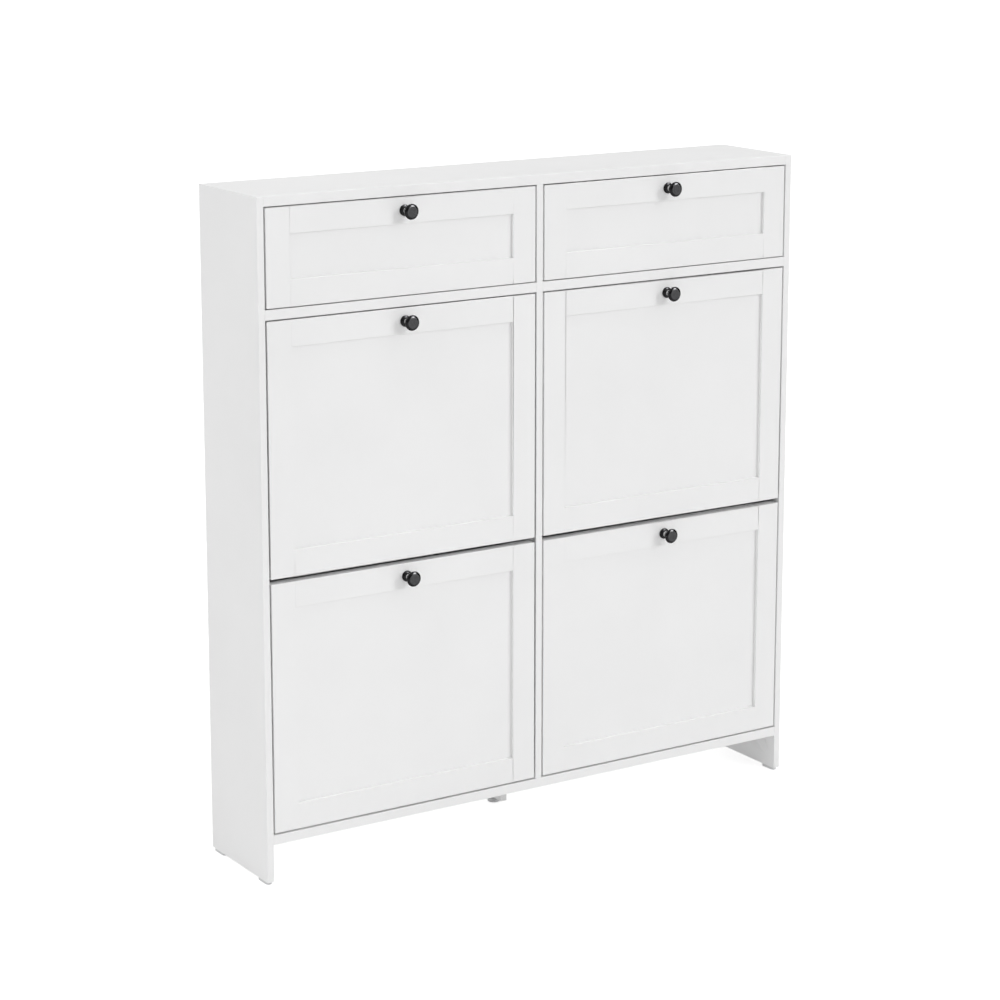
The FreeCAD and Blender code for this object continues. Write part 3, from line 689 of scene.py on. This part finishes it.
def turned(name, path, centre, axis, sides):
    """A closed solid turned about an axis through centre, from its outline."""
    form = bmesh.new()
    across = Vector((1, 0, 0)) if abs(axis.x) < 0.5 else Vector((0, 0, 1))
    other = axis.cross(across)
    rings = []
    for radius, height in path:
        if radius < 1e-7:
            rings.append([form.verts.new(centre + axis * height)])
            continue
        ring = []
        for i in range(sides):
            angle = math.tau * i / sides
            out = across * math.cos(angle) + other * math.sin(angle)
            ring.append(form.verts.new(centre + axis * height + out * radius))
        rings.append(ring)
    for lower, upper in zip(rings, rings[1:]):
        for i in range(sides):
            j = (i + 1) % sides
            corners = [
                lower[i % len(lower)], lower[j % len(lower)],
                upper[j % len(upper)], upper[i % len(upper)],
            ]
            form.faces.new(list(dict.fromkeys(corners)))
    bmesh.ops.recalc_face_normals(form, faces=form.faces)
    mesh = bpy.data.meshes.new(f"{name}_mesh")
    form.to_mesh(mesh)
    form.free()
    for face in mesh.polygons:
        face.use_smooth = True
    mesh.set_sharp_from_angle(angle=SMOOTH_TO)
    piece = bpy.data.objects.new(name, mesh)
    bpy.context.scene.collection.objects.link(piece)
    return piece


FOOT_DISH = 0.0008
FOOT_PAD = 0.005
FOOT_STEM = 0.004
FOOT_GRIPS = 12
GRIP_DEPTH = 0.0007
foot_low, foot_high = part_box("centre_foot")
foot_middle = Vector(((foot_low.x + foot_high.x) / 2, (foot_low.y + foot_high.y) / 2, 0.0))
foot_radius = (foot_high.x - foot_low.x) / 2
foot_path = [(0.0, FOOT_DISH), (foot_radius - 0.0034, FOOT_DISH)]
foot_path += [(foot_radius - 0.003, 0.0), (foot_radius - 0.001, 0.0)]
foot_path += bowed(foot_path[-1], (foot_radius, 0.0011), -0.0002, 4)
foot_path += [(foot_radius, FOOT_PAD - 0.0014)]
foot_path += bowed(foot_path[-1], (foot_radius - 0.0014, FOOT_PAD), -0.0003, 5)
foot_path += [(FOOT_STEM + 0.0014, FOOT_PAD), (FOOT_STEM + 0.0012, FOOT_PAD + 0.0016)]
foot_path += [(FOOT_STEM, FOOT_PAD + 0.002), (FOOT_STEM, foot_high.z), (0.0, foot_high.z)]
foot = turned("centre_foot_turned", foot_path, foot_middle, Vector((0, 0, 1)), 6 * FOOT_GRIPS)
for vertex in foot.data.vertices:
    out = (vertex.co - foot_middle).to_2d()
    if out.length > foot_radius - 0.0005:
        hollow = max(0.0, math.cos(FOOT_GRIPS * math.atan2(out.y, out.x)))
        out *= 1 - GRIP_DEPTH * hollow / foot_radius
        vertex.co.x, vertex.co.y = foot_middle.x + out.x, foot_middle.y + out.y
foot.data.materials.append(glide_grey)
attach(foot, "carcass")
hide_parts("centre_foot")

# ---- Fronts --------------------------------------------------------------------------------------
# Four flaps and two drawer fronts, each a frame of two stiles and two rails with tongue-and-groove
# corners round a thin fibreboard panel, sprayed with a satin white lacquer.

FRONT_WHITE = (0.94, 0.94, 0.94, 1)
FRONTS = [name for name in bodies if name.endswith(("_flap", "_drawer"))]

front_lacquer = faced_material(
    "front_board", FRONT_WHITE, gloss=0.36, grain=0.0009, strength=0.04
)
for front in FRONTS:
    finished(f"{front}_frame", front_lacquer, ease=0.0004)
    finished(f"{front}_panel", front_lacquer, ease=0.0003)

# ---- Knobs ---------------------------------------------------------------------------------------
# Cast metal mushroom knobs in dark gunmetal plating, with a base flange, a waisted neck and a flat
# face with a rounded shoulder. The rim, shoulder and base are painted nearly black as painted
# shade, and the neck is painted pale as a painted highlight. A machine screw through the top rail
# holds each one.

KNOB_FACE = (0.085, 0.085, 0.088)
# Painted shade: the head's rim and shoulder and the base flange are made nearly black, so they show
# no light from the floor.
KNOB_EDGE_SHADE = (0.03, 0.03, 0.031)
# Painted highlight: the neck is pale grey, standing in for the bright crescent beside the head.
KNOB_NECK_HIGHLIGHT = (0.7, 0.7, 0.7)
SATIN, POLISHED = 0.32, 0.17
KNOB_SIDES = 72


def knob_outline(reach, radius):
    """Radius and height above the front, from the rim of the base to the middle of the face."""
    base, neck = 0.72 * radius, 0.385 * radius
    path = [(0.0, 0.0), (base, 0.0), (base, 0.0017)]
    path += bowed(path[-1], (base - 0.0009, 0.0026), -0.0003, 4)
    path += bowed(path[-1], (neck + 0.0006, 0.0046), 0.0005)
    path += bowed(path[-1], (neck, 0.0085), 0.0002)
    path += bowed(path[-1], (radius - 0.0014, reach - 0.0056), 0.0018)
    path += bowed(path[-1], (radius, reach - 0.0032), -0.0003, 5)
    path += bowed(path[-1], (radius - 0.0004, reach - 0.0022), -0.0001, 3)
    path += bowed(path[-1], (0.664 * radius, reach - 0.0001), -0.0003, 10)
    path += bowed(path[-1], (0.0, reach), -0.00002)
    return path


def knob_metal_material(face_y, reach):
    """Rubbed satin round the face. Polished and painted nearly black round the head and base as
    painted shade, and polished and painted pale on the neck as a painted highlight. The ramp runs
    back from the face, and its alpha is the roughness."""
    made, tree, shader = start_material("knob_metal", Metallic=1.0)
    place = wire(tree, "ShaderNodeTexCoord", {}).outputs["Object"]
    apart = wire(tree, "ShaderNodeSeparateXYZ", {0: place})
    back = wire(
        tree, "ShaderNodeMapRange",
        {"Value": apart.outputs["Y"], "From Min": face_y, "From Max": face_y + reach},
    )
    # This ramp gives the face its plating tone, the rim, shoulder and base flange a painted shade,
    # and the neck a painted highlight.
    plating_and_painted_light = wire(tree, "ShaderNodeValToRGB", {"Fac": back.outputs[0]})
    tone_and_light_stops = (
        (0.0, KNOB_FACE, POLISHED), (0.004, KNOB_FACE, SATIN), (0.006, KNOB_FACE, SATIN),
        (0.016, KNOB_EDGE_SHADE, POLISHED), (0.24, KNOB_EDGE_SHADE, POLISHED), (0.3, KNOB_NECK_HIGHLIGHT, POLISHED),
        (0.74, KNOB_NECK_HIGHLIGHT, POLISHED), (0.78, KNOB_EDGE_SHADE, POLISHED), (1.0, KNOB_EDGE_SHADE, POLISHED),
    )
    bands = plating_and_painted_light.color_ramp.elements
    for position, _, _ in tone_and_light_stops[1:-1]:
        bands.new(position)
    for band, (_, color, roughness) in zip(bands, tone_and_light_stops):
        band.color = (*color, roughness)
    skin = wire(
        tree, "ShaderNodeGroup",
        {"Color": plating_and_painted_light.outputs["Color"], "Roughness": plating_and_painted_light.outputs["Alpha"],
         "Grain Size": 0.0005, "Clouding": 0.2},
        node_tree=metal,
    )
    lay_on(tree, shader, skin, 0.05, 0.0001)
    return made


front_low, front_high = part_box("left_drawer_frame")
face_plane = front_low.y
front_thick = front_high.y - front_low.y
knob_face_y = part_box("left_drawer_knob")[0].y
knob_material = knob_metal_material(knob_face_y, face_plane - knob_face_y)
for front in FRONTS:
    low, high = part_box(f"{front}_knob")
    centre = Vector(((low.x + high.x) / 2, face_plane, (low.z + high.z) / 2))
    outline = knob_outline(face_plane - low.y, (high.x - low.x) / 2)
    knob = turned(f"{front}_knob_turned", outline, centre, Vector((0, -1, 0)), KNOB_SIDES)
    knob.data.materials.append(knob_material)
    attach(knob, front)
    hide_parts(f"{front}_knob")
    screw_set(
        f"{front}_knob_screw", front, "steel",
        [(centre + Vector((0, front_thick, 0)), (0, 1, 0))], Finish=steel,
        Head_Radius=0.004, Head_Height=0.0022, Shank_Radius=0.0017, Shank_Length=0.02,
    )

# ---- Tilting shoe trays --------------------------------------------------------------------------
# Behind each flap hangs a tray of two thin white boards, a floor and a back, between two moulded
# grey end cheeks. Screws hold the cheeks' flanges to the stiles and their ledges to the boards.

TRAY_WHITE = (0.9, 0.9, 0.895, 1)
CHEEK_GREY = (0.72, 0.73, 0.74, 1)
FLAPS = [name for name in FRONTS if name.endswith("_flap")]

tray_white = faced_material(
    "tray_board", TRAY_WHITE, gloss=0.45, grain=0.0012, strength=0.05
)
cheek_plastic = faced_material(
    "tray_plastic", CHEEK_GREY, gloss=0.42, grain=0.0006, strength=0.12, drift=0.015
)
for flap in FLAPS:
    finished(f"{flap}_tray_floor", tray_white, ease=0.0004)
    finished(f"{flap}_tray_back", tray_white, ease=0.0004)
    finished(f"{flap}_tray_cheeks", cheek_plastic, ease=0.0004, least=0.002)


def bead_tree():
    """A raised round bead along each line."""
    tree, given, out = open_group(
        "beads",
        "GeometryNodeTree",
        [
            ("Geometry", "NodeSocketGeometry", None),
            ("Bead Radius", "NodeSocketFloat", 0.0012),
            ("Finish", "NodeSocketMaterial", None),
        ],
        [("Geometry", "NodeSocketGeometry")],
    )
    section = wire(
        tree, "GeometryNodeCurvePrimitiveCircle",
        {"Resolution": 10, "Radius": given.outputs["Bead Radius"]},
    )
    bead = wire(
        tree, "GeometryNodeCurveToMesh",
        {"Curve": given.outputs["Geometry"], "Profile Curve": section.outputs["Curve"],
         "Fill Caps": True},
    )
    real = wire(tree, "GeometryNodeRealizeInstances", {"Geometry": bead.outputs[0]})
    coated = wire(
        tree, "GeometryNodeSetMaterial",
        {"Geometry": real.outputs[0], "Material": given.outputs["Finish"]},
    )
    tree.links.new(coated.outputs[0], out.inputs["Geometry"])
    return tree


beads = bead_tree()
BEAD = 0.0012
RIM_INSET = 0.0016
SLOT_RADIUS = 0.17
SLOT_BEAD_OUT = 0.0053
SLOT_FROM, SLOT_TO = math.radians(37), math.radians(82)
RIB_ANGLES = (20, 45, 70)
RIB_FROM, RIB_TO = 0.045, 0.157
TRAY_SCREW_ASIDE, TRAY_SCREW_SEAT = 0.0055, 0.003
STILE_SCREWS_UP = (0.034, 0.099, 0.164)
FLOOR_SCREWS_BACK = (0.04, 0.105)
BACK_SCREWS_UP = (0.03, 0.095)


def arc(radius, start, end, steps, middle=(0.0, 0.0)):
    """Depth and height of points on an arc."""
    return [
        (
            middle[0] + radius * math.cos(start + (end - start) * i / steps),
            middle[1] + radius * math.sin(start + (end - start) * i / steps),
        )
        for i in range(steps + 1)
    ]


def cheek_lines(back, top, foot, near):
    """Lines of a cheek's beads about its pivot, and whether each one closes on itself."""
    rim = top - RIM_INSET
    edge = back - RIM_INSET
    lines = [
        ([(edge, foot), *arc(rim, math.acos(edge / rim), math.acos(near / rim), 24)], False)
    ]
    inner, outer = SLOT_RADIUS - SLOT_BEAD_OUT, SLOT_RADIUS + SLOT_BEAD_OUT
    ends = [
        (SLOT_RADIUS * math.cos(angle), SLOT_RADIUS * math.sin(angle))
        for angle in (SLOT_FROM, SLOT_TO)
    ]
    slot = arc(outer, SLOT_FROM, SLOT_TO, 20)
    slot += arc(SLOT_BEAD_OUT, SLOT_TO, SLOT_TO + math.pi, 8, ends[1])[1:]
    slot += arc(inner, SLOT_TO, SLOT_FROM, 20)[1:]
    slot += arc(SLOT_BEAD_OUT, SLOT_FROM - math.pi, SLOT_FROM, 8, ends[0])[1:-1]
    lines.append((slot, True))
    for angle in RIB_ANGLES:
        way = (math.cos(math.radians(angle)), math.sin(math.radians(angle)))
        lines.append(([(r * way[0], r * way[1]) for r in (RIB_FROM, RIB_TO)], False))
    return lines


hinges = [joint for joint in frame["joints"] if joint["type"] == "hinge"]
pivots = {joint["child"]: Vector(joint["pos_m"]) for joint in hinges}
for flap in FLAPS:
    pivot = pivots[flap]
    curve = bpy.data.curves.new(f"{flap}_cheek_lines", "CURVE")
    curve.dimensions = "3D"
    spots = []
    for low, high in solids(f"{flap}_tray_cheeks"):
        out = 1 if low.x > pivot.x else -1
        face_x, inner_x = (high.x, low.x) if out > 0 else (low.x, high.x)
        for line, closed in cheek_lines(
            high.y - pivot.y, high.z - pivot.z, low.z - pivot.z + RIM_INSET,
            low.y - pivot.y + RIM_INSET,
        ):
            spline = curve.splines.new("POLY")
            spline.points.add(len(line) - 1)
            for point, (depth, height) in zip(spline.points, line):
                point.co = (face_x, pivot.y + depth, pivot.z + height, 1)
            spline.use_cyclic_u = closed
        screw_x = inner_x + out * TRAY_SCREW_ASIDE
        stile_y, floor_z = low.y + TRAY_SCREW_SEAT, low.z + TRAY_SCREW_SEAT
        for height in STILE_SCREWS_UP:
            spots.append((Vector((screw_x, stile_y, low.z + height)), (0, 1, 0)))
        for depth in FLOOR_SCREWS_BACK:
            spots.append((Vector((screw_x, low.y + depth, floor_z)), (0, 0, -1)))
        for height in BACK_SCREWS_UP:
            spots.append((Vector((screw_x, high.y, low.z + height)), (0, 1, 0)))
    source = bpy.data.objects.new(f"{flap}_cheek_lines", curve)
    bpy.context.scene.collection.objects.link(source)
    piece = made_by(
        beads, source, f"{flap}_cheek_beads", {"Bead Radius": BEAD, "Finish": cheek_plastic}
    )
    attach(piece, flap)
    screw_set(
        f"{flap}_tray_screws", flap, "steel", spots, Finish=steel,
        Head_Radius=0.0031, Head_Height=0.0017, Shank_Radius=0.0014, Shank_Length=0.0075,
    )

# ---- Drawer boxes --------------------------------------------------------------------------------
# Two grooved side boards and a back board between them, foil-faced like the carcass, with a thin
# bottom sheet slid in from behind. Cams hold the front and long screws hold the back.

CAM_FROM_FRONT = 0.024
FITTINGS_UP = (0.016, 0.094)

for drawer in [name for name in FRONTS if name.endswith("_drawer")]:
    for part in ("sides", "back"):
        finished(f"{drawer}_{part}", white_board)
    finished(f"{drawer}_bottom", tray_white, ease=0.0003)
    back_from, back_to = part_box(f"{drawer}_back")
    middle = (back_from + back_to) / 2
    cam_spots, end_spots = [], []
    for low, high in solids(f"{drawer}_sides"):
        out = 1 if low.x > middle.x else -1
        inner_x, outer_x = (low.x, high.x) if out > 0 else (high.x, low.x)
        for height in FITTINGS_UP:
            cam = Vector((inner_x, low.y + CAM_FROM_FRONT, low.z + height))
            cam_spots.append((cam, (-out, 0, 0)))
            end_spots.append((Vector((outer_x, middle.y, low.z + height)), (out, 0, 0)))
    screw_set(
        f"{drawer}_cams", drawer, "zinc", cam_spots, Finish=zinc,
        Head_Radius=0.0075, Head_Height=0.0004, Shank_Radius=0.007, Shank_Length=0.01,
    )
    screw_set(
        f"{drawer}_end_screws", drawer, "steel", end_spots, Finish=steel,
        Head_Radius=0.0036, Head_Height=0.0008, Shank_Radius=0.0016, Shank_Length=0.03,
    )

# ---- Studio --------------------------------------------------------------------------------------
# A pale floor that runs out into a white surround, and soft light from above, the left and behind.
# A weak key from the front right draws the knobs' shadows, and a glint that only gloss shows comes
# from nearly the same side. The camera stands in front on the left, a little above the top board.

centre = (cad_box[0] + cad_box[1]) / 2
FLOOR_HALF = 30.0
FLOOR_GREY = (0.78, 0.78, 0.78, 1)
FLOOR_BOUNCE, FLOOR_GLOW = 0.12, 0.62
floor_corners = [
    (x * FLOOR_HALF, y * FLOOR_HALF, cad_box[0].z) for x, y in ((-1, -1), (1, -1), (1, 1), (-1, 1))
]
floor_mesh = bpy.data.meshes.new("floor_mesh")
floor_mesh.from_pydata(floor_corners, [], [(0, 1, 2, 3)])
floor_paint, floor_tree, floor_shader = start_material(
    "floor", Base_Color=FLOOR_GREY, Roughness=0.9, Emission_Color=(1, 1, 1, 1)
)
floor_seen = wire(floor_tree, "ShaderNodeLightPath", {})
floor_glow = wire(
    floor_tree, "ShaderNodeMapRange",
    {"Value": floor_seen.outputs["Is Camera Ray"], "To Min": FLOOR_BOUNCE, "To Max": FLOOR_GLOW},
)
floor_tree.links.new(floor_glow.outputs[0], floor_shader.inputs["Emission Strength"])
floor_mesh.materials.append(floor_paint)
floor = bpy.data.objects.new("floor", floor_mesh)
bpy.context.scene.collection.objects.link(floor)


def sun(name, source, strength, width):
    """A far soft light. Width is how wide it looks, and softens its shadows."""
    data = bpy.data.lights.new(name, "SUN")
    data.energy = strength
    data.angle = width
    lamp = bpy.data.objects.new(name, data)
    lamp.rotation_euler = source.to_track_quat("Z", "Y").to_euler()
    bpy.context.scene.collection.objects.link(lamp)
    return lamp


KEY_FROM = Vector((0.5, -1.0, 0.44))
KEY_STRENGTH = 0.8
GLINT_FROM = Vector((0.53, -0.665, 0.527))
GLINT_STRENGTH = 4.0
SUN_WIDTH = math.radians(24)
sun("key", KEY_FROM, KEY_STRENGTH, SUN_WIDTH)
sun("glint", GLINT_FROM, GLINT_STRENGTH, SUN_WIDTH).visible_diffuse = False

DOME_EVEN = 0.03
DOME_ABOVE = 1.36
DOME_LEFT = 0.66
DOME_BEHIND = 0.65
world = bpy.data.worlds.new("surround")
bpy.context.scene.world = world
world.use_nodes = True
dome = world.node_tree
dome_light = dome.nodes["Background"]
dome_light.inputs["Color"].default_value = (1, 1, 1, 1)
outward = wire(dome, "ShaderNodeTexCoord", {}).outputs["Generated"]
direction = wire(dome, "ShaderNodeSeparateXYZ", {0: outward})


def soft_box(side, sign, strength):
    """Light that swells towards one side of the dome."""
    towards = worked(dome, "MULTIPLY", direction.outputs[side], sign)
    this_half = worked(dome, "MAXIMUM", towards, 0.0)
    return worked(dome, "MULTIPLY", worked(dome, "POWER", this_half, 2.0), strength)


dome_strength = DOME_EVEN
for side, sign, strength in (
    ("Z", 1.0, DOME_ABOVE), ("X", -1.0, DOME_LEFT), ("Y", 1.0, DOME_BEHIND)
):
    dome_strength = worked(dome, "ADD", dome_strength, soft_box(side, sign, strength))
dome.links.new(dome_strength, dome_light.inputs["Strength"])
white = wire(dome, "ShaderNodeBackground", {"Color": (1, 1, 1, 1), "Strength": 1.0})
seen = wire(dome, "ShaderNodeLightPath", {})
surround = wire(dome, "ShaderNodeMixShader", {0: seen.outputs["Is Camera Ray"]})
dome.links.new(dome_light.outputs[0], surround.inputs[1])
dome.links.new(white.outputs[0], surround.inputs[2])
dome.links.new(surround.outputs[0], dome.nodes["World Output"].inputs["Surface"])

SEEN_FROM = math.radians(32.67)
LOOK_DOWN = math.radians(11.25)
DISTANCE = 4.618
LENS = 99.5
AIM_RIGHT, AIM_UP = -0.0193, 0.1956
SHIFT_UP = -0.12

away = Vector(
    (math.sin(SEEN_FROM) * math.cos(LOOK_DOWN), math.cos(SEEN_FROM) * math.cos(LOOK_DOWN),
     -math.sin(LOOK_DOWN))
)
right = Vector((math.cos(SEEN_FROM), -math.sin(SEEN_FROM), 0))
upward = right.cross(away)
camera_data = bpy.data.cameras.new("camera")
camera_data.lens = LENS
camera_data.shift_y = SHIFT_UP
camera = bpy.data.objects.new("camera", camera_data)
camera.location = centre + right * AIM_RIGHT + upward * AIM_UP - away * DISTANCE
camera.rotation_euler = away.to_track_quat("-Z", "Y").to_euler()
bpy.context.scene.collection.objects.link(camera)
bpy.context.scene.camera = camera
bpy.context.scene.view_settings.view_transform = "Standard"
